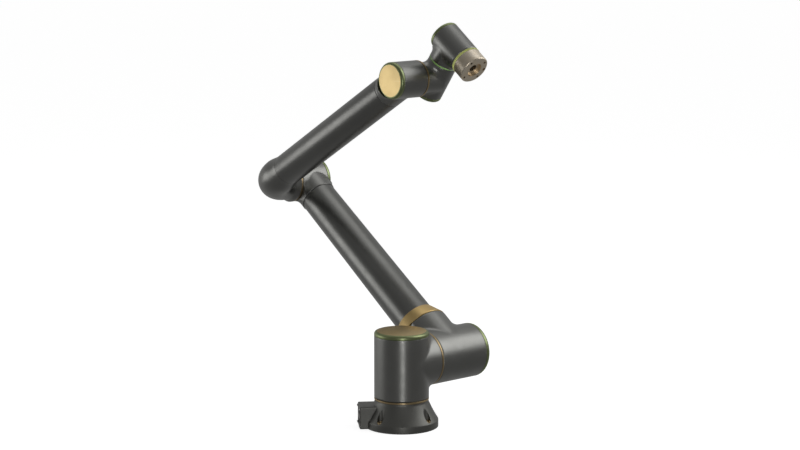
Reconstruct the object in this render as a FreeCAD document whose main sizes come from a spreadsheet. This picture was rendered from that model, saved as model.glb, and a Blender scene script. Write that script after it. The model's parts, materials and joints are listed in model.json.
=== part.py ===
"""A six-joint bench robot arm, built as separate pieces in the pose it is kept in.

Each link has a frame of its own.  In the arm's frames X runs along the joint axis
and Z along the link, so a housing is turned about X, about Z, or about both.
Every joint holds the same kind of drive: an output hub in the next link, and a
bearing, a strain-wave gear, a motor and a hollow shaft behind the seam.
"""
import FreeCAD, Part
import os
import Sketcher
from FreeCAD import Placement, Rotation, Vector

X_AXIS = Vector(1, 0, 0)
Y_AXIS = Vector(0, 1, 0)
Z_AXIS = Vector(0, 0, 1)
HOLE_COUNT = 4
ORIGIN = ("0", "0")

# Driving dimensions: millimetres, degrees, or plain fractions where the name says so.
SIZES = {
    # pose: angles of the links above the horizontal, and the turn of the whole arm
    "base_turn": 35.4,
    "upper_arm_angle": 35.0,
    "forearm_angle": 149.6,
    "wrist_angle": 126.0,
    "tool_turn": -90.0,
    # joint axes
    "shoulder_height": 130.0,
    "upper_arm_length": 548.0,
    "forearm_length": 506.0,
    "upper_arm_offset": 114.0,
    "forearm_offset": 15.0,
    "wrist_offset": 101.0,
    "wrist_rise": 85.5,
    # foot and its connector box
    "foot_radius": 74.5,
    "foot_rim": 14.0,
    "foot_height": 56.0,
    "foot_neck_radius": 54.5,
    "foot_cavity": 44.0,
    "flare_low_radius": 73.5,
    "flare_low": 16.0,
    "flare_top": 53.0,
    "flare_curve": 250.0,
    "plate_radius": 50.0,
    "plate_thickness": 4.0,
    "mount_circle": 132.0,
    "mount_hole": 8.6,
    "spot_face": 15.0,
    "spot_floor": 12.0,
    "box_reach": 87.0,
    "box_width": 50.0,
    "box_height": 46.0,
    "box_root": 50.0,
    "recess_width": 32.0,
    "recess_height": 12.0,
    "recess_depth": 4.0,
    "power_level": 13.0,
    "signal_level": 33.0,
    "socket_outer": 5.8,
    "socket_inner": 4.8,
    "socket_length": 10.0,
    "socket_back": 2.0,
    "box_screw_head": 2.6,
    "box_screw_shank": 1.5,
    "box_screw_head_height": 1.6,
    "box_screw_length": 8.0,
    "box_screw_side": 20.5,
    "box_screw_low": 6.0,
    "box_screw_high": 40.0,
    # rings and gaps at the joint seams
    "seam_gap": 0.5,
    "ring_thickness": 3.5,
    "hub_clearance": 0.05,
    "cap_proud": 0.8,
    "cap_clearance": 0.1,
    "cap_skirt": 2.5,
    "cap_spigot": 3.0,
    "cap_wall": 2.5,
    "cap_face": 3.0,
    # housings: outer radius, bore, and where the seam and the capped end lie
    "base_outer": 55.5,
    "base_bore": 50.0,
    "base_end": 195.2,
    "shoulder_outer": 55.5,
    "shoulder_bore": 47.0,
    "shoulder_seam": 66.0,
    "shoulder_end": 196.2,
    "elbow_outer": 44.0,
    "elbow_bore": 38.0,
    "elbow_seam": 74.5,
    "elbow_end": 153.2,
    "wrist_1_outer": 37.0,
    "wrist_1_bore": 32.0,
    "wrist_1_seam": 49.5,
    "wrist_1_end": 19.2,
    "wrist_2_outer": 30.0,
    "wrist_2_bore": 25.5,
    "wrist_2_seam": 42.5,
    "wrist_2_end": 42.4,
    "wrist_3_outer": 31.5,
    "wrist_3_bore": 27.0,
    "wrist_3_seam": 53.0,
    "wrist_3_end": 31.4,
    # tubes, their necks and the gold collar
    "tube_wall": 3.0,
    "neck_radius": 55.0,
    "neck_top": 74.0,
    "collar_height": 31.0,
    "collar_top_radius": 43.5,
    "upper_tube_low": 41.6,
    "upper_tube_high": 38.0,
    "upper_tube_end": 58.0,
    "elbow_neck_radius": 39.5,
    "bend_radius": 42.0,
    "bend_pipe": 38.5,
    "bend_bore": 33.0,
    "bend_cone": 34.0,
    "forearm_tube_radius": 34.0,
    "wrist_neck_length": 52.0,
    "wrist_1_arm_radius": 32.4,
    "wrist_2_arm_radius": 30.0,
    # status ring and tool flange
    "status_ring_thickness": 4.5,
    "tool_radius": 31.0,
    "tool_face": 80.0,
    "tool_edge": 1.5,
    "tool_pilot": 15.75,
    "tool_pilot_depth": 6.0,
    "tool_circle": 50.0,
    "tool_thread": 5.0,
    "tool_thread_depth": 12.0,
    "tool_dowel": 6.0,
    "tool_dowel_depth": 8.0,
    # drive stack behind a seam, as fractions of the housing's depth and of its bore
    "bearing_from": 0.03,
    "bearing_to": 0.14,
    "gear_from": 0.17,
    "gear_to": 0.40,
    "motor_from": 0.45,
    "motor_to": 0.72,
    "shaft_from": 0.05,
    "shaft_to": 0.88,
    "hub_fraction": 0.62,
    "gear_fraction": 0.26,
    "stator_fraction": 0.62,
    "rotor_fraction": 0.60,
    "shaft_fraction": 0.22,
    "shaft_bore_fraction": 0.15,
    "flange_fraction": 0.84,
    "flange_depth": 8.0,
}

doc = FreeCAD.newDocument("bench_robot_arm")
sheet = doc.addObject("Spreadsheet::Sheet", "Size")
pieces = []


def fill_sheet():
    """Write one row per driving dimension: its name, its value and its alias."""
    for row, (name, number) in enumerate(SIZES.items(), start=1):
        sheet.set(f"A{row}", name)
        sheet.set(f"B{row}", str(number))
        sheet.setAlias(f"B{row}", name)
    doc.recompute()


def size(expression):
    """The number that an expression over the sheet's cells stands for."""
    return float(sheet.evalExpression(expression.replace("Size.", "")))


# ---------------------------------------------------------------- drawing helpers

def new_body(label, frame):
    """A named piece that lies in the given frame."""
    body = doc.addObject("PartDesign::Body", label)
    body.Label = label
    body.Placement = frame
    pieces.append(body)
    return body


def new_sketch(body, plane, at=ORIGIN):
    """A sketch on one of the body's own planes, its origin moved to a place there."""
    sketch = body.newObject("Sketcher::SketchObject", body.Name + "_sketch")
    base = [item for item in body.Origin.OriginFeatures if item.Role == plane]
    sketch.AttachmentSupport = (base[0], [""])
    sketch.MapMode = "FlatFace"
    sketch.setExpression("AttachmentOffset.Base.x", at[0])
    sketch.setExpression("AttachmentOffset.Base.y", at[1])
    return sketch


def fix_point(sketch, geometry, end, place, name):
    """Hold a point of the sketch at two expressions."""
    for kind, axis, expression in (("DistanceX", -2, place[0]), ("DistanceY", -1, place[1])):
        if expression == "0":
            sketch.addConstraint(Sketcher.Constraint("PointOnObject", geometry, end, axis))
            continue
        held = Sketcher.Constraint(kind, -1, 1, geometry, end, size(expression))
        index = sketch.addConstraint(held)
        label = name + kind[-1]
        sketch.renameConstraint(index, label)
        sketch.setExpression("Constraints." + label, expression)


def draw_arc(sketch, start, stop, radius, name):
    """An arc from one point to the next: a positive radius bulges to the right of the way."""
    reach = size(radius)
    chord = stop - start
    middle = (start + stop) * 0.5
    across = Vector(-chord.y, chord.x, 0).normalize()
    lift = (reach * reach - chord.Length * chord.Length / 4) ** 0.5
    centre = middle + across * (lift if reach > 0 else -lift)
    ends = (start, stop) if reach > 0 else (stop, start)
    circle = Part.Circle(centre, Z_AXIS, abs(reach))
    arc = Part.ArcOfCircle(circle, circle.parameter(ends[0]), circle.parameter(ends[1]))
    index = sketch.addGeometry(arc)
    held = sketch.addConstraint(Sketcher.Constraint("Radius", index, abs(reach)))
    sketch.renameConstraint(held, name)
    sketch.setExpression("Constraints." + name, f"abs({radius})")
    return index, (1, 2) if reach > 0 else (2, 1)


def draw_outline(sketch, points):
    """A closed outline.  A third item in a point is the radius of the arc that leaves it."""
    places = [Vector(size(point[0]), size(point[1]), 0) for point in points]
    edges = []
    for number, point in enumerate(points):
        start = places[number]
        stop = places[(number + 1) % len(places)]
        if len(point) == 3:
            edges.append(draw_arc(sketch, start, stop, point[2], f"arc{number}"))
        else:
            edges.append((sketch.addGeometry(Part.LineSegment(start, stop)), (1, 2)))
    for number, (index, ends) in enumerate(edges):
        before, before_ends = edges[number - 1]
        joined = Sketcher.Constraint("Coincident", before, before_ends[1], index, ends[0])
        sketch.addConstraint(joined)
        fix_point(sketch, index, ends[0], points[number], f"point{number}")


def draw_circle(sketch, centre, diameter):
    """A circle held by its centre and its diameter."""
    place = Vector(size(centre[0]), size(centre[1]), 0)
    index = sketch.addGeometry(Part.Circle(place, Z_AXIS, size(diameter) / 2))
    held = sketch.addConstraint(Sketcher.Constraint("Diameter", index, size(diameter)))
    sketch.renameConstraint(held, "across")
    sketch.setExpression("Constraints.across", diameter)
    fix_point(sketch, index, 3, centre, "centre")


def finish_feature(body, feature, cuts):
    """Recompute, and stop if the feature failed or changed nothing."""
    before = body.Shape.Volume if feature.BaseFeature else 0.0
    doc.recompute()
    if "Invalid" in feature.State or "Error" in feature.State:
        raise RuntimeError(f"{body.Label}: {feature.Name} failed")
    after = feature.Shape.Volume
    if (after >= before) if cuts else (after <= before):
        raise RuntimeError(f"{body.Label}: {feature.Name} changed nothing")
    return feature


def turn(body, points, axis="V_Axis", at=ORIGIN, cut=False, angle=360):
    """Turn an outline in the XZ plane about the sketch's upright or level axis."""
    sketch = new_sketch(body, "XZ_Plane", at)
    draw_outline(sketch, points)
    kind = "PartDesign::Groove" if cut else "PartDesign::Revolution"
    feature = body.newObject(kind, body.Name + "_turned")
    feature.Profile = sketch
    feature.ReferenceAxis = (sketch, [axis])
    feature.Angle = angle
    return finish_feature(body, feature, cut)


def block(low_x, high_x, low_y, high_y):
    """The four corners of a rectangle."""
    return [(low_x, low_y), (high_x, low_y), (high_x, high_y), (low_x, high_y)]


def pull(body, draw, length, plane="XY_Plane", at=ORIGIN, cut=False, back=False, both=False):
    """Pad or pocket a drawing by a length, to both sides if asked."""
    sketch = new_sketch(body, plane, at)
    draw(sketch)
    kind = "PartDesign::Pocket" if cut else "PartDesign::Pad"
    feature = body.newObject(kind, body.Name + "_pulled")
    feature.Profile = sketch
    feature.setExpression("Length", length)
    feature.Midplane = both
    feature.Reversed = back
    return finish_feature(body, feature, cut)


def repeat_round(body, feature, angle=360.0, count=HOLE_COUNT):
    """Repeat a feature about the body's Z axis."""
    pattern = body.newObject("PartDesign::PolarPattern", body.Name + "_circle")
    pattern.Originals = [feature]
    axis = [item for item in body.Origin.OriginFeatures if item.Role == "Z_Axis"]
    pattern.Axis = (axis[0], [""])
    pattern.Angle = angle
    pattern.Occurrences = count
    body.Tip = pattern
    doc.recompute()
    return pattern


def lip(end, outer, bore):
    """Where a housing stops short of its capped end, to leave room for the cap's rim."""
    rim = f"({outer} - {bore} + Size.cap_skirt)"
    return f"({end} - {rim})" if size(end) > 0 else f"({end} + {rim})"


def cap_seat(body, end, outer, bore):
    """Cut a housing and its neck back where the cap at the level end needs the room."""
    edge = lip(end, outer, bore)
    far = f"{end} + {outer}" if size(end) > 0 else f"{end} - {outer}"
    turn(body, block(edge, far, "0", f"{outer} + Size.seam_gap"), "H_Axis", cut=True)


# ---------------------------------------------------------------- frames of the links

def moved(frame, x=0.0, y=0.0, z=0.0, axis=Z_AXIS, angle=0.0):
    """A frame shifted within its parent and then turned about one of its own axes."""
    return frame.multiply(Placement(Vector(x, y, z), Rotation(axis, angle)))


def link_frames():
    """The frame of each moving link, from the joint angles and lengths in the sheet."""
    upper_angle = size("Size.upper_arm_angle")
    forearm_angle = size("Size.forearm_angle")
    wrist_angle = size("Size.wrist_angle")
    base = Placement()
    shoulder = moved(base, angle=size("Size.base_turn"))
    upper_arm = moved(shoulder, z=size("Size.shoulder_height"), axis=X_AXIS, angle=upper_angle - 90)
    forearm = moved(upper_arm, z=size("Size.upper_arm_length"), axis=X_AXIS,
                    angle=forearm_angle - upper_angle)
    wrist_1 = moved(forearm, z=size("Size.forearm_length"), axis=X_AXIS,
                    angle=wrist_angle - forearm_angle)
    wrist_2 = moved(wrist_1, x=size("Size.wrist_offset"), z=size("Size.wrist_rise"),
                    axis=Z_AXIS, angle=size("Size.tool_turn"))
    return {"base": base, "shoulder": shoulder, "upper_arm": upper_arm,
            "forearm": forearm, "wrist_1": wrist_1, "wrist_2": wrist_2}


def drive_frames(frames):
    """For each joint, a frame at its seam with Z pointing into the housing of its drive."""
    seat = {name: size(f"Size.{name}_seam") for name in
            ("shoulder", "elbow", "wrist_1", "wrist_2", "wrist_3")}
    gap = size("Size.seam_gap")
    elbow = moved(frames["upper_arm"], z=size("Size.upper_arm_length"))
    wrist_2 = moved(frames["wrist_1"], x=size("Size.wrist_offset"))
    base_seam = size("Size.foot_height + Size.ring_thickness") + gap
    return {
        "base": moved(frames["shoulder"], z=base_seam),
        "shoulder": moved(frames["upper_arm"], x=seat["shoulder"] + gap, axis=Y_AXIS, angle=90),
        "elbow": moved(elbow, x=seat["elbow"] + gap, axis=Y_AXIS, angle=90),
        "wrist_1": moved(frames["forearm"], z=size("Size.forearm_length"),
                         x=seat["wrist_1"] - gap, axis=Y_AXIS, angle=-90),
        "wrist_2": moved(wrist_2, z=seat["wrist_2"] - gap, axis=X_AXIS, angle=180),
        "wrist_3": moved(frames["wrist_2"], x=seat["wrist_3"] - gap, axis=Y_AXIS, angle=-90),
    }


# ---------------------------------------------------------------- foot

def foot_outline():
    """The foot's outer outline: a plain rim, a concave flare and an upright neck."""
    return [("0", "0"), ("Size.foot_radius", "0"), ("Size.foot_radius", "Size.foot_rim"),
            ("Size.flare_low_radius", "Size.flare_low", "-Size.flare_curve"),
            ("Size.foot_neck_radius", "Size.flare_top"),
            ("Size.foot_neck_radius", "Size.foot_height"), ("0", "Size.foot_height")]


def make_foot(frame):
    """Cast foot with a cable cavity, a seat for the hub and four mounting holes."""
    body = new_body("base_foot", frame)
    turn(body, foot_outline())
    seat = "Size.foot_height - Size.flange_depth"
    hub_radius = "Size.base_bore * Size.flange_fraction"
    turn(body, [("0", "0"), ("Size.plate_radius", "0"),
                ("Size.plate_radius", "Size.plate_thickness"),
                ("Size.foot_cavity", "Size.plate_thickness"), ("Size.foot_cavity", seat),
                (hub_radius, seat), (hub_radius, "Size.foot_height"),
                ("0", "Size.foot_height")], cut=True)
    reach = "Size.mount_circle / 2 * cos(45)"
    centre = (reach, reach)
    hole = pull(body, lambda sketch: draw_circle(sketch, centre, "Size.mount_hole"),
                "Size.foot_height", cut=True, back=True)
    repeat_round(body, hole)
    spot = pull(body, lambda sketch: draw_circle(sketch, centre, "Size.spot_face"),
                "Size.foot_height", cut=True, back=True)
    spot.Profile[0].setExpression("AttachmentOffset.Base.z", "Size.spot_floor")
    repeat_round(body, spot)


def make_bottom_plate(frame):
    """Round plate that closes the foot's cavity from below."""
    body = new_body("base_bottom_plate", frame)
    turn(body, block("0", "Size.plate_radius", "0", "Size.plate_thickness"))


def make_connector_box(frame):
    """Box on the foot's side: it follows the flare and has a recess for each socket."""
    body = new_body("connector_box", frame)
    half = "Size.box_width / 2"
    pull(body, lambda sketch: draw_outline(
        sketch, block("-Size.box_reach", "-Size.box_root", "-" + half, half)), "Size.box_height")
    turn(body, foot_outline(), cut=True)
    for level in ("Size.power_level", "Size.signal_level"):
        width = "Size.recess_width / 2"
        height = "Size.recess_height / 2"
        corners = block("-" + width, width, f"{level} - {height}", f"{level} + {height}")
        cut_into_box(body, lambda sketch: draw_outline(sketch, corners), "Size.recess_depth")
        hole = ("0", level)
        cut_into_box(body, lambda sketch: draw_circle(sketch, hole, "2 * Size.socket_outer"),
                     "Size.socket_length")
    for side in ("-Size.box_screw_side", "Size.box_screw_side"):
        for level in ("Size.box_screw_low", "Size.box_screw_high"):
            hole = (side, level)
            cut_into_box(body, lambda sketch: draw_circle(
                sketch, hole, "2 * Size.box_screw_shank"), "Size.box_screw_length")


def cut_into_box(body, draw, depth):
    """Pocket a drawing into the end face of the connector box."""
    sketch = new_sketch(body, "YZ_Plane")
    sketch.setExpression("AttachmentOffset.Base.z", "-Size.box_reach")
    draw(sketch)
    feature = body.newObject("PartDesign::Pocket", body.Name + "_pocket")
    feature.Profile = sketch
    feature.setExpression("Length", depth)
    feature.Reversed = True
    finish_feature(body, feature, True)


def make_socket(label, frame, level):
    """Round socket shell with a closed back, pushed into the connector box."""
    seat = moved(frame, x=-size("Size.box_reach"), z=size(level), axis=Y_AXIS, angle=90)
    body = new_body(label, seat)
    turn(body, block("0", "Size.socket_outer", "0", "Size.socket_length"))
    turn(body, block("0", "Size.socket_inner", "0", "Size.socket_length - Size.socket_back"),
         cut=True)


def make_box_screws(frame):
    """Four pan-head screws that hold the connector box's panel."""
    body = doc.addObject("Part::Feature", "connector_box_screws")
    body.Label = "connector_box_screws"
    screws = []
    reach = size("Size.box_reach")
    head_height = size("Size.box_screw_head_height")
    for side in (-size("Size.box_screw_side"), size("Size.box_screw_side")):
        for level in (size("Size.box_screw_low"), size("Size.box_screw_high")):
            face = Vector(-reach, side, level)
            head = Part.makeCylinder(size("Size.box_screw_head"), head_height, face, -X_AXIS)
            shank = Part.makeCylinder(size("Size.box_screw_shank"), size("Size.box_screw_length"),
                                      face, X_AXIS)
            screws.append(head.fuse(shank).removeSplitter())
    body.Shape = Part.makeCompound(screws)
    body.Placement = frame
    pieces.append(body)


def make_seam_ring(label, frame, outer, inner, low):
    """Thin gold ring that marks a joint's seam, turned about the frame's Z axis."""
    body = new_body(label, frame)
    turn(body, block(inner, outer, low, f"{low} + Size.ring_thickness"))


# ---------------------------------------------------------------- link housings

def make_shoulder_housing(frame):
    """Upright can of the base joint with the short level arm that carries the shoulder."""
    body = new_body("shoulder_housing", frame)
    low = "Size.foot_height + Size.ring_thickness + Size.seam_gap"
    high = lip("Size.base_end", "Size.base_outer", "Size.base_bore")
    stub = "Size.shoulder_seam - Size.ring_thickness"
    centre = ("0", "Size.shoulder_height")
    turn(body, block("0", "Size.base_outer", low, high))
    turn(body, block("0", stub, "0", "Size.shoulder_outer"), "H_Axis", centre)
    turn(body, block("0", "Size.base_bore", low, "Size.base_end"), cut=True)
    turn(body, block("0", stub, "0", "Size.shoulder_bore * Size.flange_fraction"),
         "H_Axis", centre, cut=True)


def make_upper_arm_base(frame):
    """Shoulder end of the upper arm: the drive's can and a neck for the tube."""
    body = new_body("upper_arm_base", frame)
    seam = "(Size.shoulder_seam + Size.seam_gap)"
    neck = ("Size.upper_arm_offset", "0")
    end = lip("Size.shoulder_end", "Size.shoulder_outer", "Size.shoulder_bore")
    turn(body, block(seam, end, "0", "Size.shoulder_outer"), "H_Axis")
    turn(body, block("0", "Size.neck_radius", "0", "Size.neck_top"), at=neck)
    face_cut(body, seam, "Size.neck_top")
    turn(body, block(seam, "Size.shoulder_end", "0", "Size.shoulder_bore"), "H_Axis", cut=True)
    turn(body, block("0", "Size.upper_tube_low - Size.tube_wall", "0", "Size.neck_top"),
         at=neck, cut=True)


def face_cut(body, seam, top):
    """Cut away what would reach past the seam towards the shoulder."""
    room = "2 * Size.neck_radius"
    pull(body, lambda sketch: draw_outline(
        sketch, block(f"{seam} - {room}", seam, "-" + top, f"{top} + {room}")),
        f"2 * {room}", plane="XZ_Plane", cut=True, both=True)


def make_collar(frame):
    """Gold cone between the upper arm's neck and its tube."""
    body = new_body("upper_arm_collar", frame)
    low = "Size.neck_top"
    high = "(Size.neck_top + Size.collar_height)"
    bore = "Size.upper_tube_low"
    turn(body, [(bore, low), ("Size.neck_radius", low), ("Size.collar_top_radius", high),
                (bore, high)], at=("Size.upper_arm_offset", "0"))
    face_cut(body, "(Size.shoulder_seam + Size.seam_gap)", high)


def make_upper_arm_tube(frame):
    """Slightly tapered tube from the gold collar to the elbow."""
    body = new_body("upper_arm_tube", frame)
    low = "Size.neck_top"
    high = "(Size.upper_arm_length - Size.upper_tube_end)"
    turn(body, [("Size.upper_tube_low - Size.tube_wall", low), ("Size.upper_tube_low", low),
                ("Size.upper_tube_low", "Size.neck_top + Size.collar_height"),
                ("Size.upper_tube_high", high),
                ("Size.upper_tube_high - Size.tube_wall", high)],
         at=("Size.upper_arm_offset", "0"))


def make_elbow_housing(frame):
    """Elbow end of the upper arm: the elbow drive's can and a short neck."""
    body = new_body("elbow_housing", frame)
    seam = "(Size.elbow_seam + Size.seam_gap)"
    neck = ("Size.upper_arm_offset", "0")
    low = "-Size.upper_tube_end"
    turn(body, block(seam, "Size.elbow_end", "0", "Size.elbow_outer"), "H_Axis")
    turn(body, block("0", "Size.elbow_neck_radius", low, "0"), at=neck)
    face_cut(body, seam, "Size.upper_tube_end")
    cap_seat(body, "Size.elbow_end", "Size.elbow_outer", "Size.elbow_bore")
    turn(body, block(seam, "Size.elbow_end", "0", "Size.elbow_bore"), "H_Axis", cut=True)
    turn(body, block("0", "Size.upper_tube_high - Size.tube_wall", low, "0"), at=neck, cut=True)


def make_forearm_elbow(frame):
    """Smooth bend that carries the forearm tube away from the elbow's seam."""
    body = new_body("forearm_elbow", frame)
    side = "(Size.forearm_offset + Size.bend_radius)"
    face = "(Size.elbow_seam - Size.ring_thickness)"
    top = "(Size.bend_radius + Size.bend_cone)"
    tube = ("Size.forearm_offset", "0")
    hub = "Size.elbow_bore * Size.flange_fraction"
    bend_pipe(body, side, "Size.bend_pipe", False)
    turn(body, [(side, "0"), (face, "0"), (face, "Size.elbow_outer"),
                (f"{face} - Size.ring_thickness", "Size.elbow_outer"), (side, "Size.bend_pipe")],
         "H_Axis")
    turn(body, [("0", "Size.bend_radius"), ("Size.bend_pipe", "Size.bend_radius"),
                ("Size.forearm_tube_radius", top), ("0", top)], at=tube)
    bend_pipe(body, side, "Size.bend_bore", True)
    turn(body, [(side, "0"), (face, "0"), (face, hub),
                (f"{face} - Size.flange_depth", hub), (side, "Size.bend_bore - Size.tube_wall")],
         "H_Axis", cut=True)
    turn(body, [("0", "Size.bend_radius"), ("Size.bend_bore", "Size.bend_radius"),
                ("Size.forearm_tube_radius - Size.tube_wall", top), ("0", top)],
         at=tube, cut=True)


def bend_pipe(body, side, radius, cut):
    """A quarter turn of round pipe, from the elbow's axis to the forearm's."""
    sketch = new_sketch(body, "YZ_Plane")
    sketch.setExpression("AttachmentOffset.Base.z", side)
    draw_circle(sketch, ORIGIN, f"2 * {radius}")
    ends = [("0", "Size.bend_radius"), (radius, "Size.bend_radius")]
    start, stop = [Vector(size(across), size(up), 0) for across, up in ends]
    axis = sketch.addGeometry(Part.LineSegment(start, stop), True)
    fix_point(sketch, axis, 1, ends[0], "axis_start")
    fix_point(sketch, axis, 2, ends[1], "axis_stop")
    kind = "PartDesign::Groove" if cut else "PartDesign::Revolution"
    feature = body.newObject(kind, body.Name + "_bend")
    feature.Profile = sketch
    feature.ReferenceAxis = (sketch, ["Axis0"])
    feature.Angle = 90
    feature.Reversed = False
    finish_feature(body, feature, cut)


def make_forearm_tube(frame):
    """Plain tube of the forearm."""
    body = new_body("forearm_tube", frame)
    low = "(Size.bend_radius + Size.bend_cone)"
    high = "(Size.forearm_length - Size.wrist_neck_length)"
    outer = "Size.forearm_tube_radius"
    turn(body, block(f"{outer} - Size.tube_wall", outer, low, high),
         at=("Size.forearm_offset", "0"))


def make_wrist_1_drive_housing(frame):
    """Wrist end of the forearm: the can of the first wrist drive and a neck for the tube."""
    body = new_body("forearm_wrist_housing", frame)
    seam = "(Size.wrist_1_seam - Size.seam_gap)"
    end = "-Size.wrist_1_end"
    neck = ("Size.forearm_offset", "0")
    low = "-Size.wrist_neck_length"
    turn(body, block(end, seam, "0", "Size.wrist_1_outer"), "H_Axis")
    turn(body, block("0", "Size.forearm_tube_radius", low, "0"), at=neck)
    cap_seat(body, end, "Size.wrist_1_outer", "Size.wrist_1_bore")
    turn(body, block(end, seam, "0", "Size.wrist_1_bore"), "H_Axis", cut=True)
    turn(body, block("0", "Size.forearm_tube_radius - Size.tube_wall", low, "0"),
         at=neck, cut=True)


def make_wrist_1_housing(frame):
    """First wrist link: a level arm from the forearm and the can of the second wrist drive."""
    body = new_body("wrist_1_housing", frame)
    start = "(Size.wrist_1_seam + Size.ring_thickness)"
    seam = "(Size.wrist_2_seam - Size.seam_gap)"
    end = "-Size.wrist_2_end"
    middle = ("Size.wrist_offset", "0")
    edge = lip(end, "Size.wrist_2_outer", "Size.wrist_2_bore")
    turn(body, block(start, "Size.wrist_offset", "0", "Size.wrist_1_arm_radius"), "H_Axis")
    turn(body, block("0", "Size.wrist_2_outer", edge, seam), at=middle)
    turn(body, block("0", "Size.wrist_2_bore", end, seam), at=middle, cut=True)
    turn(body, block(start, "Size.wrist_offset", "0", "Size.wrist_1_bore * Size.flange_fraction"),
         "H_Axis", cut=True)


def make_wrist_2_housing(frame):
    """Second wrist link: a short arm on the joint below and the can of the tool drive."""
    body = new_body("wrist_2_housing", frame)
    low = "(Size.wrist_2_seam - Size.wrist_rise)"
    seam = "(Size.wrist_3_seam - Size.seam_gap - Size.status_ring_thickness)"
    end = "-Size.wrist_3_end"
    turn(body, block(end, seam, "0", "Size.wrist_3_outer"), "H_Axis")
    turn(body, block("0", "Size.wrist_2_arm_radius", low, "0"))
    cap_seat(body, end, "Size.wrist_3_outer", "Size.wrist_3_bore")
    turn(body, block(end, seam, "0", "Size.wrist_3_bore"), "H_Axis", cut=True)
    turn(body, block("0", "Size.wrist_2_bore * Size.flange_fraction", low, "0"), cut=True)


def make_cap(label, frame, outer, bore, depth):
    """Gold cap with a rounded rim and a short spigot, in the drive's own frame."""
    body = new_body(label, frame)
    rim = f"({outer} - {bore})"
    seam = f"({depth} - {rim} - Size.cap_skirt)"
    high = f"({depth} + Size.cap_proud)"
    side = f"({bore} - Size.cap_clearance)"
    wall = f"({side} - Size.cap_wall)"
    face = f"({high} - Size.cap_face)"
    turn(body, [(wall, f"{seam} - Size.cap_spigot"), (side, f"{seam} - Size.cap_spigot"),
                (side, seam), (outer, seam), (outer, f"{high} - {rim}", rim), (bore, high),
                ("0", high), ("0", face), (wall, face)])


def make_status_ring(frame):
    """Ring between the second wrist link and the tool flange."""
    body = new_body("status_ring", frame)
    high = "(Size.wrist_3_seam - Size.seam_gap)"
    turn(body, block(f"{high} - Size.status_ring_thickness", high, "Size.wrist_3_bore",
                     "Size.wrist_3_outer"), "H_Axis")


def make_tool_flange(frame):
    """Tool flange: pilot bore, four threaded holes on a circle and one dowel hole."""
    tool = moved(frame, axis=Y_AXIS, angle=90)
    body = new_body("tool_flange", tool)
    low = "Size.wrist_3_seam"
    face = "Size.tool_face"
    hub = "Size.wrist_3_bore * Size.flange_fraction"
    turn(body, [("0", low), ("Size.tool_radius", low),
                ("Size.tool_radius", f"{face} - Size.tool_edge"),
                (f"Size.tool_radius - Size.tool_edge", face), ("0", face)])
    turn(body, [("0", low), (hub, low), (hub, f"{low} + Size.flange_depth"),
                ("Size.tool_pilot / 2", f"{low} + Size.flange_depth"),
                ("Size.tool_pilot / 2", f"{face} - Size.tool_pilot_depth"),
                ("Size.tool_pilot", f"{face} - Size.tool_pilot_depth"),
                ("Size.tool_pilot", face), ("0", face)], cut=True)
    reach = "Size.tool_circle / 2 * cos(45)"
    thread = face_hole(body, (reach, reach), "Size.tool_thread", "Size.tool_thread_depth")
    repeat_round(body, thread)
    face_hole(body, ("0", "Size.tool_circle / 2"), "Size.tool_dowel", "Size.tool_dowel_depth")


def face_hole(body, centre, diameter, depth):
    """A blind hole in the tool face."""
    sketch = new_sketch(body, "XY_Plane")
    sketch.setExpression("AttachmentOffset.Base.z", "Size.tool_face")
    draw_circle(sketch, centre, diameter)
    feature = body.newObject("PartDesign::Pocket", body.Name + "_hole")
    feature.Profile = sketch
    feature.setExpression("Length", depth)
    return finish_feature(body, feature, True)


# ---------------------------------------------------------------- drives

def make_drive(name, frame, bore, depth, hub_reach):
    """One joint's drive, as turned pieces along the frame's Z axis behind the seam."""
    def level(key):
        return f"{depth} * Size.{key}"

    def radius(key):
        return f"{bore} * Size.{key}_fraction"

    hub = radius("hub")
    shaft = radius("shaft")
    make_hub(name, frame, hub, radius("flange"), level("bearing_to"), shaft, hub_reach)
    rings = {
        "bearing": (hub, bore, "bearing_from", "bearing_to"),
        "strain_gear": (radius("gear"), bore, "gear_from", "gear_to"),
        "motor_stator": (radius("stator"), bore, "motor_from", "motor_to"),
    }
    for part, (inner, outer, low, high) in rings.items():
        body = new_body(f"{name}_{part}", frame)
        turn(body, block(inner, outer, level(low), level(high)))
    body = new_body(f"{name}_rotor_shaft", frame)
    hollow = radius("shaft_bore")
    rotor = radius("rotor")
    turn(body, [(hollow, level("shaft_from")), (shaft, level("shaft_from")),
                (shaft, level("motor_from")), (rotor, level("motor_from")),
                (rotor, level("motor_to")), (shaft, level("motor_to")),
                (shaft, level("shaft_to")), (hollow, level("shaft_to"))])


def make_hub(name, frame, hub, flange, top, shaft, reach):
    """Output hub: a flange bolted in the next link and a spigot that runs in the bearing."""
    body = new_body(f"{name}_output_hub", frame)
    spigot = f"{hub} - Size.hub_clearance"
    bore = f"{shaft} + 2 * Size.seam_gap"
    face = "-Size.seam_gap"
    turn(body, [(bore, reach), (flange, reach), (flange, face), (spigot, face),
                (spigot, top), (bore, top)])


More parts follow.
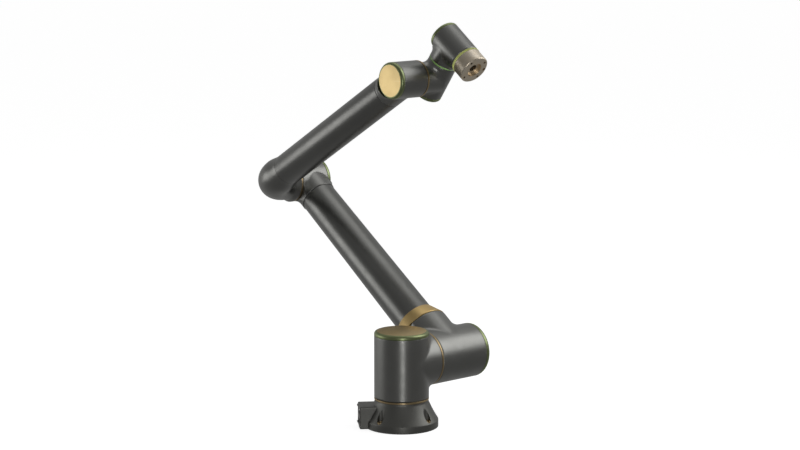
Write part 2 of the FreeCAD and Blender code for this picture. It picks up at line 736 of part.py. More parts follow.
def joint_list(frames):
    """Each joint's drive frame, bore, depth from seam to rim, and hub reach past the seam."""
    drives = drive_frames(frames)
    base_seam = "(Size.foot_height + Size.ring_thickness + Size.seam_gap)"
    plain_reach = "-(Size.flange_depth + Size.seam_gap)"
    ring_reach = f"({plain_reach} - Size.ring_thickness)"
    return {
        "base": (drives["base"], f"(Size.base_end - {base_seam})", ring_reach),
        "shoulder": (drives["shoulder"],
                     "(Size.shoulder_end - Size.shoulder_seam - Size.seam_gap)", ring_reach),
        "elbow": (drives["elbow"],
                  "(Size.elbow_end - Size.elbow_seam - Size.seam_gap)", ring_reach),
        "wrist_1": (drives["wrist_1"],
                    "(Size.wrist_1_end + Size.wrist_1_seam - Size.seam_gap)", ring_reach),
        "wrist_2": (drives["wrist_2"],
                    "(Size.wrist_2_end + Size.wrist_2_seam - Size.seam_gap)", plain_reach),
        "wrist_3": (drives["wrist_3"],
                    "(Size.wrist_3_end + Size.wrist_3_seam - Size.seam_gap)", plain_reach),
    }


def make_all():
    """Every piece of the arm, from the foot to the tool flange."""
    fill_sheet()
    frames = link_frames()
    elbow = moved(frames["upper_arm"], z=size("Size.upper_arm_length"))
    wrist_end = moved(frames["forearm"], z=size("Size.forearm_length"))
    make_foot(frames["base"])
    make_bottom_plate(frames["base"])
    make_connector_box(frames["base"])
    make_socket("power_socket", frames["base"], "Size.power_level")
    make_socket("signal_socket", frames["base"], "Size.signal_level")
    make_box_screws(frames["base"])
    make_seam_ring("base_seam_ring", frames["base"], "Size.base_outer",
                   "Size.base_bore * Size.flange_fraction", "Size.foot_height")
    make_shoulder_housing(frames["shoulder"])
    make_upper_arm_base(frames["upper_arm"])
    make_collar(frames["upper_arm"])
    make_upper_arm_tube(frames["upper_arm"])
    make_elbow_housing(elbow)
    make_forearm_elbow(frames["forearm"])
    make_forearm_tube(frames["forearm"])
    make_wrist_1_drive_housing(wrist_end)
    make_wrist_1_housing(frames["wrist_1"])
    make_wrist_2_housing(frames["wrist_2"])
    make_status_ring(frames["wrist_2"])
    make_tool_flange(frames["wrist_2"])
    for name, (frame, depth, reach) in joint_list(frames).items():
        outer = f"Size.{name}_outer"
        bore = f"Size.{name}_bore"
        make_drive(name, frame, bore, depth, reach)
        make_cap(f"{name}_cap", frame, outer, bore, depth)
        if name in ("shoulder", "elbow", "wrist_1"):
            make_seam_ring(f"{name}_seam_ring", frame, outer, f"{bore} * Size.flange_fraction",
                           "-(Size.seam_gap + Size.ring_thickness)")
    doc.recompute()


def write_all():
    """Check every object and every piece, then write one STEP file per piece."""
    for item in doc.Objects:
        if "Invalid" in item.State or "Error" in item.State:
            raise RuntimeError(f"{item.Label} is {item.State}")
    for piece in pieces:
        if piece.Shape.isNull() or not piece.Shape.isValid():
            raise RuntimeError(f"{piece.Label} has no valid shape")
    os.makedirs("parts", exist_ok=True)
    for piece in pieces:
        piece.Shape.exportStep(os.path.join("parts", piece.Label + ".step"))
    print(len(pieces), "pieces written")


make_all()
write_all()
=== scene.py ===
"""Looks of the bench robot arm: cast housings, tubes, caps and rings, floor and light.

Lengths in the shape functions are millimetres in a link's own frame, where X runs
along the joint axis and Z along the link, and new_object() turns them into metres.
"""
import json
import math

import bmesh
import bpy
import numpy as np
from mathutils import Matrix, Vector


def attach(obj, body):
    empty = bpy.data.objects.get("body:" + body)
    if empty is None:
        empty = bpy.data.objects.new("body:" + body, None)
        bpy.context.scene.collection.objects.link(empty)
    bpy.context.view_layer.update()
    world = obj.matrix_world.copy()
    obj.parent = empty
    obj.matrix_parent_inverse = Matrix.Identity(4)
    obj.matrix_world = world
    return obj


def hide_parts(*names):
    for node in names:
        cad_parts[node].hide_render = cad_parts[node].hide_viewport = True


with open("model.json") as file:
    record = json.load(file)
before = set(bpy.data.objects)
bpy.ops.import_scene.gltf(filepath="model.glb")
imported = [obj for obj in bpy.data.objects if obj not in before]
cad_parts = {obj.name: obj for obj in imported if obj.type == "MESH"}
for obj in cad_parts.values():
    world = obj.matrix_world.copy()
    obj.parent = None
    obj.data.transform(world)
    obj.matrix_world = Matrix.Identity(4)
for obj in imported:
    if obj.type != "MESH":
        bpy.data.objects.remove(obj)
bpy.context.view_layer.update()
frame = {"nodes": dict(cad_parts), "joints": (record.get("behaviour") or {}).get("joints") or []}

METRES = 0.001
FULL_TURN = 2 * math.pi
JOINTS = {joint["name"]: joint for joint in frame["joints"]}

# Cast housings, in millimetres: these repeat the CAD part's own sizes.
SHOULDER_HEIGHT = 130.0
BASE = {"radius": 55.5, "bore": 50.0, "low": 60.0, "high": 195.2}
SHOULDER = {"radius": 55.5, "bore": 47.0, "seam": 66.5, "end": 196.2}
ELBOW = {"radius": 44.0, "bore": 38.0, "seam": 75.0, "end": 153.2}
WRIST_1 = {"radius": 37.0, "bore": 32.0, "seam": 49.0, "end": -19.2}
WRIST_2 = {"radius": 30.0, "bore": 25.5, "seam": 42.0, "end": -42.4}
WRIST_3 = {"radius": 31.5, "bore": 27.0, "seam": 48.0, "end": -31.4}
STUB_END = 62.5
UPPER_OFFSET = 114.0
UPPER_LENGTH = 548.0
FOREARM_OFFSET = 15.0
FOREARM_LENGTH = 506.0
WRIST_OFFSET = 101.0
WRIST_RISE = 85.5
NECK = {"radius": 55.0, "top": 74.0}
COLLAR = {"height": 31.0, "radius": 43.5}
UPPER_TUBE = {"low_radius": 41.6, "high_radius": 38.0, "end": 58.0}
ELBOW_NECK = 39.5
FOREARM_TUBE = {"radius": 34.0, "start": 76.0, "end": 52.0}
BEND = {"radius": 42.0, "pipe": 38.5, "flange": 44.0, "face": 71.0}
WRIST_1_ARM = {"radius": 32.4, "start": 53.0}
WRIST_2_ARM = {"radius": 30.0, "low": -43.0}
FOOT = {"radius": 74.5, "rim": 14.0, "neck": 54.5, "height": 56.0, "flare_low": 16.0,
        "flare_low_radius": 73.5, "flare_top": 53.0, "flare_curve": 250.0}
BOX = {"reach": 87.0, "root": 48.0, "half_width": 25.0, "height": 46.0, "levels": (13.0, 33.0),
       "recess": (16.0, 6.0, 4.0), "socket": 5.9, "socket_length": 10.0}
MOUNT = {"circle": 132.0, "hole": 8.6, "spot": 15.0, "floor": 12.0, "seat": 8.0}
RING = 3.5
CAP_PROUD = 0.8
CAP_SKIRT = 2.5

# What only the looks need, in millimetres.
CAP_GAP = 0.6          # air between a cap and the housing's neck beside it
CAP_CHAMFER = 1.4      # rounding of the housing's edge at that gap
FACE_PROUD = 0.2       # gold face above the cap that carries it
LINE = {"start": 0.3, "height": 3.0, "proud": 0.2}    # green line at the foot of wrist_2
EDGE = 0.8             # rounding of a sharp outer edge
SEAM_EDGE = 2.4        # rounding where a housing stops at a seam
OVERRUN = 20.0         # how far a rod runs past the plane that trims it
FILLET = {"shoulder": 18.0, "upper_arm": 20.0, "elbow": 18.0, "wrist": 16.0}
ROUND_STEPS = 192      # facets round a turned piece
HOLE_STEPS = 48        # facets round a small hole


# ---------------------------------------------------------------- frames of the links

def joint_point(name):
    """A joint's place in millimetres."""
    return Vector(JOINTS[name]["pos_m"]) / METRES


def joint_axis(name):
    """A joint's axis in the shared frame."""
    return Vector(JOINTS[name]["axis"]).normalized()


def link_matrix(origin, x_axis, z_axis):
    """A frame in millimetres with the given X and Z."""
    x_axis = Vector(x_axis).normalized()
    z_axis = (Vector(z_axis) - x_axis * x_axis.dot(z_axis)).normalized()
    rows = Matrix((x_axis, z_axis.cross(x_axis), z_axis)).transposed().to_4x4()
    rows.translation = origin
    return rows


def link_matrices():
    """Each link's frame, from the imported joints: on the joint's axis, level with the base axis."""
    across = joint_axis("shoulder_joint")

    def on_base_plane(name):
        point = joint_point(name)
        return point - across * point.dot(across)

    shoulder = on_base_plane("shoulder_joint")
    elbow = on_base_plane("elbow_joint")
    wrist = on_base_plane("wrist_1_joint")
    rise = joint_axis("wrist_2_joint")
    corner = wrist + across * WRIST_OFFSET + rise * WRIST_RISE
    return {
        "base": Matrix.Identity(4),
        "shoulder": link_matrix(Vector(), across, (0, 0, 1)),
        "upper_arm": link_matrix(shoulder, across, elbow - shoulder),
        "elbow": link_matrix(elbow, across, elbow - shoulder),
        "forearm": link_matrix(elbow, across, wrist - elbow),
        "wrist": link_matrix(wrist, across, wrist - elbow),
        "wrist_1": link_matrix(wrist, across, rise),
        "wrist_2": link_matrix(corner, joint_axis("wrist_3_joint"), rise),
    }


LINKS = link_matrices()
TURN_X = Matrix.Rotation(math.pi / 2, 4, "Y")


# ---------------------------------------------------------------- meshes

def new_object(name, points, faces, matrix):
    """A smooth-shaded mesh object from millimetre points in a link's frame."""
    rows = np.array(matrix)
    world = (np.asarray(points, float) @ rows[:3, :3].T + rows[:3, 3]) * METRES
    mesh = bpy.data.meshes.new(name)
    mesh.from_pydata(world.tolist(), [], faces)
    mesh.update()
    mesh.shade_smooth()
    piece = bpy.data.objects.new(name, mesh)
    bpy.context.scene.collection.objects.link(piece)
    return piece


def sharpen(piece, angle):
    """Split the shading at edges sharper than an angle."""
    bpy.context.view_layer.objects.active = piece
    piece.select_set(True)
    bpy.ops.object.shade_smooth_by_angle(angle=math.radians(angle))
    piece.select_set(False)
    return piece


def rounded(points, radius=EDGE, steps=4):
    """An open profile with each inner corner replaced by a small curve."""
    points = [Vector((p[0], p[1])) for p in points]
    out = [points[0]]
    for before, corner, after in zip(points, points[1:], points[2:]):
        one = before - corner
        two = after - corner
        turn = one.angle(two, math.pi)
        reach = min(radius / max(math.tan(turn / 2), 0.05), one.length / 2, two.length / 2)
        start = corner + one.normalized() * reach
        stop = corner + two.normalized() * reach
        for step in range(steps + 1):
            share = step / steps
            out.append(start * (1 - share) ** 2 + corner * 2 * share * (1 - share)
                       + stop * share ** 2)
    out.append(points[-1])
    return out


def strip_faces(rings, steps):
    """Quads between neighbouring rings of points."""
    faces = []
    for ring in range(rings - 1):
        low, high = ring * steps, (ring + 1) * steps
        for step in range(steps):
            after = (step + 1) % steps
            faces.append((low + step, low + after, high + after, high + step))
    return faces


def lathe(name, profile, matrix, steps=ROUND_STEPS):
    """A profile of (radius, height) points turned about the frame's Z axis."""
    turns = np.linspace(0, FULL_TURN, steps, endpoint=False)
    points = [(radius * math.cos(turn), radius * math.sin(turn), height)
              for radius, height in profile for turn in turns]
    piece = new_object(name, points, strip_faces(len(profile), steps), matrix)
    weld(piece)
    return piece


def weld(piece):
    """Join points that lie on each other, such as a profile's end on the axis."""
    work = bmesh.new()
    work.from_mesh(piece.data)
    bmesh.ops.remove_doubles(work, verts=work.verts, dist=1e-6)
    bmesh.ops.recalc_face_normals(work, faces=work.faces)
    work.to_mesh(piece.data)
    work.free()


def net_crossings(grid, value, cell):
    """Where the surface crosses the grid's edges.

    Gives each cell's sum and number of crossings and, for each axis, the other two
    axes, the crossed edges and whether each edge starts inside.
    """
    counts = value.shape
    cells = tuple(count - 1 for count in counts)
    total = np.zeros(cells + (3,))
    crossings = np.zeros(cells, int)
    edges = []
    for axis in range(3):
        first = [slice(None)] * 3
        second = [slice(None)] * 3
        first[axis] = slice(0, -1)
        second[axis] = slice(1, None)
        near, far = value[tuple(first)], value[tuple(second)]
        crossed = (near < 0) != (far < 0)
        share = np.where(crossed, near / np.where(crossed, near - far, 1.0), 0.0)
        place = grid[tuple(first)].copy()
        place[..., axis] += share * cell
        others = [other for other in range(3) if other != axis]
        for one in (0, 1):
            for two in (0, 1):
                part = [slice(None)] * 3
                part[others[0]] = slice(one, counts[others[0]] - 1 + one)
                part[others[1]] = slice(two, counts[others[1]] - 1 + two)
                part = tuple(part)
                total += np.where(crossed[part][..., None], place[part], 0.0)
                crossings += crossed[part]
        edges.append((others, crossed, near < 0))
    return total, crossings, edges


def net_faces(axis, others, crossed, inside, number):
    """One quad for each crossed edge along an axis, between the four cells round it."""
    inner = [slice(None)] * 3
    for other in others:
        inner[other] = slice(1, crossed.shape[other] - 1)
    places = np.argwhere(crossed[tuple(inner)])
    for other in others:
        places[:, other] += 1
    solid = inside[tuple(places.T)]
    corners = []
    for one, two in ((1, 1), (0, 1), (0, 0), (1, 0)):
        corner = places.copy()
        corner[:, others[0]] -= one
        corner[:, others[1]] -= two
        corners.append(number[tuple(corner.T)])
    quads = np.stack(corners, 1)
    flip = solid if axis == 1 else ~solid
    quads[flip] = quads[flip][:, ::-1]
    return quads


def surface_net(name, field, low, high, cell, matrix):
    """The zero level of a distance field as a mesh of quads, pulled onto the true surface."""
    low = np.array(low, float)
    counts = np.ceil((np.array(high, float) - low) / cell).astype(int) + 1
    axes = [low[axis] + cell * np.arange(counts[axis]) for axis in range(3)]
    grid = np.stack(np.meshgrid(*axes, indexing="ij"), -1)
    total, crossings, edges = net_crossings(grid, field(grid), cell)
    used = crossings > 0
    number = np.full(crossings.shape, -1)
    number[used] = np.arange(used.sum())
    points = total[used] / crossings[used][:, None]
    faces = [net_faces(axis, *edge, number) for axis, edge in enumerate(edges)]
    return new_object(name, settle(points, field), np.concatenate(faces).tolist(), matrix)


def settle(points, field, rounds=4, step=0.05):
    """Move points along the field's slope until they lie on its zero level."""
    for _ in range(rounds):
        slope = np.zeros_like(points)
        for axis in range(3):
            shift = np.zeros(3)
            shift[axis] = step
            slope[:, axis] = (field(points + shift) - field(points - shift)) / (2 * step)
        size = np.maximum((slope ** 2).sum(1), 0.2)
        points = points - slope * (field(points) / size)[:, None]
    return points


# ---------------------------------------------------------------- distance fields

def rod(points, axis, centre, radius, low, high, edge=EDGE):
    """Distance to a round rod along one axis, its ends rounded by the edge radius."""
    others = [other for other in range(3) if other != axis]
    one = points[..., others[0]] - centre[0]
    two = points[..., others[1]] - centre[1]
    along = np.abs(points[..., axis] - (low + high) / 2) - (high - low) / 2 + edge
    around = np.sqrt(one * one + two * two) - radius + edge
    outside = np.sqrt(np.maximum(along, 0) ** 2 + np.maximum(around, 0) ** 2)
    return outside + np.minimum(np.maximum(along, around), 0) - edge


def join(one, two, blend):
    """Smooth union of two distances, with a fillet about as large as the blend."""
    near = np.maximum(blend - np.abs(one - two), 0) / blend
    return np.minimum(one, two) - near * near * blend / 4


def tee(points, one, two, blend, reach):
    """Union of two rods that cross: the fillet fades out where their sides run together."""
    least = 0.06
    fade = 1 - (points[..., 1] / reach) ** 2
    return join(one, two, blend * np.maximum(fade, least))


def cut(one, two, blend):
    """The first shape less the second, its new edge rounded by the blend."""
    return -join(-one, two, blend)


def trim(value, plane):
    """Keep the side of a plane where its distance is negative, with a rounded new edge."""
    return -join(-value, -plane, SEAM_EDGE)


def slab(points, low, high, edge):
    """Distance to a box with rounded edges."""
    low, high = np.array(low, float), np.array(high, float)
    away = np.abs(points - (low + high) / 2) - (high - low) / 2 + edge
    outside = np.sqrt((np.maximum(away, 0) ** 2).sum(-1))
    return outside + np.minimum(away.max(-1), 0) - edge


# ---------------------------------------------------------------- materials

def new_material(name):
    """A material with nodes, its node tree and its main shader."""
    material = bpy.data.materials.new(name)
    material.use_nodes = True
    tree = material.node_tree
    return material, tree, tree.nodes["Principled BSDF"]


def node(tree, kind, **settings):
    """A new node with its settings and default input values."""
    made = tree.nodes.new(kind)
    for key, value in settings.items():
        if key in made.inputs:
            made.inputs[key].default_value = value
        else:
            setattr(made, key, value)
    return made


def noise(tree, coords, scale, detail=4.0, roughness=0.55):
    """Noise over the object's own coordinates."""
    made = node(tree, "ShaderNodeTexNoise", Scale=scale, Detail=detail, Roughness=roughness)
    tree.links.new(coords, made.inputs["Vector"])
    return made.outputs["Fac"]


def ramp(tree, source, stops):
    """A colour ramp with the given (position, grey or colour) stops."""
    made = node(tree, "ShaderNodeValToRGB")
    elements = made.color_ramp.elements
    while len(elements) < len(stops):
        elements.new(0.5)
    for element, (place, colour) in zip(elements, stops):
        element.position = place
        if not isinstance(colour, tuple):
            colour = (colour,) * 3
        element.color = (*colour, 1.0)
    tree.links.new(source, made.inputs["Fac"])
    return made.outputs["Color"]


MIX_SHARE, MIX_ONE, MIX_TWO, MIX_OUT = 0, 6, 7, 2     # a colour Mix node's sockets


def mix(tree, share, one, two):
    """Mix two colours, each a socket or a plain colour, by a share that is a socket."""
    made = node(tree, "ShaderNodeMix", data_type="RGBA")
    tree.links.new(share, made.inputs[MIX_SHARE])
    for index, value in ((MIX_ONE, one), (MIX_TWO, two)):
        if isinstance(value, bpy.types.NodeSocket):
            tree.links.new(value, made.inputs[index])
        else:
            made.inputs[index].default_value = (*value, 1.0)
    return made.outputs[MIX_OUT]


def bump(tree, heights, shader):
    """Stack bumps: (socket, strength, distance in metres) from coarse to fine."""
    normal = None
    for height, strength, distance in heights:
        made = node(tree, "ShaderNodeBump", Strength=strength, Distance=distance)
        tree.links.new(height, made.inputs["Height"])
        if normal is not None:
            tree.links.new(normal, made.inputs["Normal"])
        normal = made.outputs["Normal"]
    tree.links.new(normal, shader.inputs["Normal"])


def satin_metal(name, colour, bright, rough=(0.34, 0.44), wear=0.5):
    """Bead-blasted, anodised metal: fine grain, uneven sheen, light rubbed edges."""
    material, tree, shader = new_material(name)
    coords = node(tree, "ShaderNodeTexCoord").outputs["Object"]
    cloud = noise(tree, coords, 9.0, 5.0)
    speck = noise(tree, coords, 900.0, 2.0)
    smear = noise(tree, coords, 38.0, 6.0, 0.7)
    tone = ramp(tree, cloud, [(0.32, tuple(0.90 * c for c in colour)), (0.68, colour)])
    tone = mix(tree, ramp(tree, speck, [(0.35, 0.0), (0.75, 0.35)]), tone,
               tuple(min(1.0, 1.25 * c) for c in colour))
    edges = node(tree, "ShaderNodeNewGeometry").outputs["Pointiness"]
    edge_mask = ramp(tree, edges, [(0.53, 0.0), (0.60, wear)])
    broken = node(tree, "ShaderNodeMath", operation="MULTIPLY")
    tree.links.new(edge_mask, broken.inputs[0])
    tree.links.new(ramp(tree, smear, [(0.35, 0.0), (0.6, 1.0)]), broken.inputs[1])
    tone = mix(tree, broken.outputs[0], tone, bright)
    tree.links.new(tone, shader.inputs["Base Color"])
    shader.inputs["Metallic"].default_value = 1.0
    sheen = ramp(tree, smear, [(0.3, rough[0]), (0.75, rough[1])])
    tree.links.new(sheen, shader.inputs["Roughness"])
    bump(tree, [(smear, 0.05, 0.0004), (speck, 0.12, 0.00008)], shader)
    return material


def moulded(name, colour):
    """Fine-textured black moulding."""
    material, tree, shader = new_material(name)
    coords = node(tree, "ShaderNodeTexCoord").outputs["Object"]
    speck = noise(tree, coords, 1600.0, 3.0)
    cloud = noise(tree, coords, 60.0, 4.0)
    tree.links.new(ramp(tree, cloud, [(0.3, colour), (0.7, tuple(1.5 * c for c in colour))]),
                   shader.inputs["Base Color"])
    tree.links.new(ramp(tree, cloud, [(0.3, 0.4), (0.7, 0.6)]), shader.inputs["Roughness"])
    bump(tree, [(speck, 0.2, 0.0001)], shader)
    return material


def frosted(name, colour):
    """Frosted plastic of the unlit status ring and the green line."""
    material, tree, shader = new_material(name)
    coords = node(tree, "ShaderNodeTexCoord").outputs["Object"]
    cloud = noise(tree, coords, 120.0, 3.0)
    tree.links.new(ramp(tree, cloud, [(0.3, colour), (0.7, tuple(1.1 * c for c in colour))]),
                   shader.inputs["Base Color"])
    tree.links.new(ramp(tree, cloud, [(0.3, 0.35), (0.7, 0.5)]), shader.inputs["Roughness"])
    shader.inputs["Subsurface Weight"].default_value = 0.15
    shader.inputs["Subsurface Radius"].default_value = (0.002, 0.002, 0.001)
    bump(tree, [(noise(tree, coords, 2000.0), 0.1, 0.00005)], shader)
    return material


CAST_GREY = (0.308, 0.308, 0.293)
TUBE_GREY = (0.253, 0.253, 0.241)
# Painted shade: the housing grey darkened for the foot and the connector box, which are of the
# housing's own metal.
SHADED_HOUSING_GREY = (0.215, 0.215, 0.200)
GREY_EDGE = (0.55, 0.55, 0.53)
GOLD = (0.74, 0.565, 0.27)
GOLD_EDGE = (0.95, 0.82, 0.58)
MATERIALS = {
    "housing_metal": satin_metal("cast_housing", CAST_GREY, GREY_EDGE),
    "tube_metal": satin_metal("drawn_tube", TUBE_GREY, GREY_EDGE, rough=(0.31, 0.41)),
    "gold_cap": satin_metal("gold_cap", GOLD, GOLD_EDGE, rough=(0.30, 0.40), wear=0.3),
    "gold_ring": satin_metal("gold_ring", (0.55, 0.42, 0.24), GOLD_EDGE, wear=0.3),
    "gold_collar": satin_metal("gold_collar", (0.84, 0.60, 0.26), GOLD_EDGE, wear=0.3),
    "tool_metal": satin_metal("tool_metal", (0.95, 0.79, 0.60), (0.95, 0.9, 0.8)),
    # Painted shade: a darker copy of the cast housing metal, for the foot and the connector box.
    "shaded_base_metal": satin_metal("cast_housing_shaded_base", SHADED_HOUSING_GREY, GREY_EDGE, rough=(0.42, 0.52)),
    "steel": satin_metal("steel", (0.42, 0.41, 0.40), (0.8, 0.8, 0.8), rough=(0.2, 0.3)),
    "socket_plastic": moulded("black_moulding", (0.012, 0.012, 0.012)),
    # Painted shade: the cap's gold dimmed to olive for its rim and skirt, as gold looks seen at a
    # grazing angle.
    "cap_rim_painted_shade": satin_metal("cap_rim_painted_shade", (0.34, 0.395, 0.20), (0.55, 0.60, 0.48), wear=0.3),
    "status_ring": frosted("frosted_ring", (0.50, 0.54, 0.17)),
    "green_line": frosted("green_line", (0.22, 0.38, 0.12)),
}


def finish_piece(piece, body, slot, replaced=(), material=None):
    """Give a piece its material, the slot's own unless another is named, its body and the CAD nodes
    it stands for.
    """
    piece.data.materials.clear()
    piece.data.materials.append(MATERIALS[material or slot])
    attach(piece, body)
    if replaced:
        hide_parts(*replaced)


# ---------------------------------------------------------------- foot

def foot_profile():
    """Outer outline of the foot, from its underside to its neck."""
    low = Vector((FOOT["flare_low_radius"], FOOT["flare_low"]))
    chord = Vector((FOOT["neck"], FOOT["flare_top"])) - low
    inward = Vector((-chord.y, chord.x)).normalized()
    sag = chord.length ** 2 / (8 * FOOT["flare_curve"])
    curve = [tuple(low + chord * share + inward * sag * 4 * share * (1 - share))
             for share in np.linspace(0, 1, 20)]
    edge = rounded([(0, 0), (FOOT["radius"], 0), (FOOT["radius"], FOOT["rim"]), curve[0]], 1.0)
    top = rounded([curve[-1], (FOOT["neck"], FOOT["height"]), (0, FOOT["height"])], 0.8)
    return edge[:-1] + curve + top[1:]


def subtract(piece, tools):
    """Cut tools out of a piece for good."""
    for tool in tools:
        modifier = piece.modifiers.new("cut", "BOOLEAN")
        modifier.operation = "DIFFERENCE"
        modifier.solver = "EXACT"
        modifier.object = tool
    bpy.context.view_layer.update()
    graph = bpy.context.evaluated_depsgraph_get()
    made = bpy.data.meshes.new_from_object(piece.evaluated_get(graph))
    piece.modifiers.clear()
    piece.data = made
    for tool in tools:
        bpy.data.objects.remove(tool)


def mount_places():
    """The four mounting holes, at 45 degrees to the connector box."""
    reach = MOUNT["circle"] / 2 * math.sqrt(0.5)
    return [(x * reach, y * reach) for x in (-1, 1) for y in (-1, 1)]


def make_foot():
    """Flared foot with four spot-faced mounting holes."""
    foot = lathe("base_foot_casting", foot_profile(), LINKS["base"], 256)
    tools = []
    for x, y in mount_places():
        place = Matrix.Translation((x, y, 0))
        spot = [(0, MOUNT["floor"]), (MOUNT["spot"] / 2, MOUNT["floor"]),
                (MOUNT["spot"] / 2, FOOT["height"]), (0, FOOT["height"])]
        hole = [(0, -1), (MOUNT["hole"] / 2, -1), (MOUNT["hole"] / 2, FOOT["rim"]),
                (0, FOOT["rim"])]
        tools += [lathe("spot_tool", spot, place, HOLE_STEPS),
                  lathe("hole_tool", hole, place, HOLE_STEPS)]
    subtract(foot, tools)
    sharpen(foot, 30)
    # The foot takes the darker copy of the housing metal: painted shade.
    finish_piece(foot, "base", "housing_metal", ["base_foot"], "shaded_base_metal")


def make_mount_seats():
    """A bronze bush in the pocket of each mounting hole."""
    inner, outer = MOUNT["hole"] / 2 - 0.05, MOUNT["spot"] / 2 - 0.4
    low, high = MOUNT["floor"] - 0.2, MOUNT["floor"] + MOUNT["seat"]
    profile = rounded([(inner, low), (inner, high), (outer, high), (outer, low)], 0.3)
    for number, (x, y) in enumerate(mount_places()):
        seat = lathe(f"mount_seat_{number + 1}", profile, Matrix.Translation((x, y, 0)),
                     HOLE_STEPS)
        finish_piece(seat, "base", "gold_ring")


# ---------------------------------------------------------------- housings

def lip(sizes, key="end"):
    """Where a housing stops, and which way its capped end faces."""
    end = sizes[key]
    facing = 1.0 if end > 0 else -1.0
    return end - facing * (sizes["radius"] - sizes["bore"] + CAP_SKIRT), facing


def cap_room(points, value, axis, centre, sizes, key="end"):
    """Cut a housing and its neck back to leave the cap its room."""
    edge, facing = lip(sizes, key)
    low, high = sorted((edge, edge + facing * 2 * OVERRUN))
    room = rod(points, axis, centre, sizes["radius"] + CAP_GAP, low, high, 0.3)
    return cut(value, room, CAP_CHAMFER)


def shoulder_field(points):
    """Upright can with a level arm for the shoulder joint."""
    can = rod(points, 2, (0, 0), BASE["radius"], BASE["low"] - OVERRUN, BASE["high"])
    arm = rod(points, 0, (0, SHOULDER_HEIGHT), SHOULDER["radius"], 0, STUB_END + OVERRUN)
    value = tee(points, can, arm, FILLET["shoulder"], BASE["radius"])
    value = trim(value, BASE["low"] - points[..., 2])
    value = trim(value, points[..., 0] - STUB_END)
    return cap_room(points, value, 2, (0, 0), BASE, "high")


def upper_base_field(points):
    """The shoulder drive's can with the neck of the upper arm."""
    can = rod(points, 0, (0, 0), SHOULDER["radius"], SHOULDER["seam"] - OVERRUN, SHOULDER["end"])
    neck = rod(points, 2, (UPPER_OFFSET, 0), NECK["radius"], 0, NECK["top"] + OVERRUN)
    value = tee(points, can, neck, FILLET["upper_arm"], NECK["radius"])
    value = trim(value, points[..., 2] - NECK["top"])
    value = trim(value, SHOULDER["seam"] - points[..., 0])
    return cap_room(points, value, 0, (0, 0), SHOULDER)


def elbow_field(points):
    """The elbow drive's can with the neck of the upper arm's tube."""
    can = rod(points, 0, (0, 0), ELBOW["radius"], ELBOW["seam"] - OVERRUN, ELBOW["end"])
    neck = rod(points, 2, (UPPER_OFFSET, 0), ELBOW_NECK, -UPPER_TUBE["end"], 0, 1.2)
    value = tee(points, can, neck, FILLET["elbow"], ELBOW_NECK + 1)
    value = trim(value, ELBOW["seam"] - points[..., 0])
    return cap_room(points, value, 0, (0, 0), ELBOW)


def forearm_end_field(points):
    """The first wrist drive's can with the neck of the forearm's tube."""
    can = rod(points, 0, (0, 0), WRIST_1["radius"], WRIST_1["end"], WRIST_1["seam"] + OVERRUN)
    neck = rod(points, 2, (FOREARM_OFFSET, 0), FOREARM_TUBE["radius"], -FOREARM_TUBE["end"], 0,
               1.2)
    value = tee(points, can, neck, FILLET["wrist"], FOREARM_TUBE["radius"] + 1)
    value = trim(value, points[..., 0] - WRIST_1["seam"])
    return cap_room(points, value, 0, (0, 0), WRIST_1)


def wrist_1_field(points):
    """Level arm from the forearm and the second wrist drive's can."""
    arm = rod(points, 0, (0, 0), WRIST_1_ARM["radius"], WRIST_1_ARM["start"] - OVERRUN,
              WRIST_OFFSET)
    can = rod(points, 2, (WRIST_OFFSET, 0), WRIST_2["radius"], WRIST_2["end"],
              WRIST_2["seam"] + OVERRUN)
    value = tee(points, arm, can, FILLET["wrist"], WRIST_1_ARM["radius"])
    value = trim(value, WRIST_1_ARM["start"] - points[..., 0])
    value = trim(value, points[..., 2] - WRIST_2["seam"])
    return cap_room(points, value, 2, (WRIST_OFFSET, 0), WRIST_2)


def wrist_2_field(points):
    """Short arm on the joint below and the tool drive's can."""
    can = rod(points, 0, (0, 0), WRIST_3["radius"], WRIST_3["end"], WRIST_3["seam"] + OVERRUN)
    arm = rod(points, 2, (0, 0), WRIST_2_ARM["radius"], WRIST_2_ARM["low"] - OVERRUN, 0)
    value = tee(points, can, arm, FILLET["wrist"], WRIST_3["radius"])
    value = trim(value, points[..., 0] - WRIST_3["seam"])
    value = trim(value, WRIST_2_ARM["low"] - points[..., 2])
    return cap_room(points, value, 0, (0, 0), WRIST_3)


# Piece, field, low and high corner of its grid, cell size, link, body and CAD node.
HOUSINGS = (
    ("shoulder_casting", shoulder_field, (-60, -60, 56), (68, 60, 200), 1.25,
     "shoulder", "shoulder", "shoulder_housing"),
    ("upper_arm_base_casting", upper_base_field, (62, -62, -62), (201, 62, 80), 1.25,
     "upper_arm", "upper_arm", "upper_arm_base"),
    ("elbow_casting", elbow_field, (71, -48, -62), (158, 48, 48), 1.15,
     "elbow", "upper_arm", "elbow_housing"),
    ("forearm_end_casting", forearm_end_field, (-24, -41, -56), (53, 41, 41), 1.0,
     "wrist", "forearm", "forearm_wrist_housing"),
    ("wrist_1_casting", wrist_1_field, (49, -36, -46), (135, 36, 46), 1.0,
     "wrist_1", "wrist_1", "wrist_1_housing"),
    ("wrist_2_casting", wrist_2_field, (-36, -35, -47), (52, 35, 36), 1.0,
     "wrist_2", "wrist_2", "wrist_2_housing"),
)


def make_housings():
    """Cast housings with filleted joints between their cans and necks."""
    for name, field, low, high, cell, link, body, replaced in HOUSINGS:
        piece = surface_net(name, field, low, high, cell, LINKS[link])
        finish_piece(sharpen(piece, 40), body, "housing_metal", [replaced])


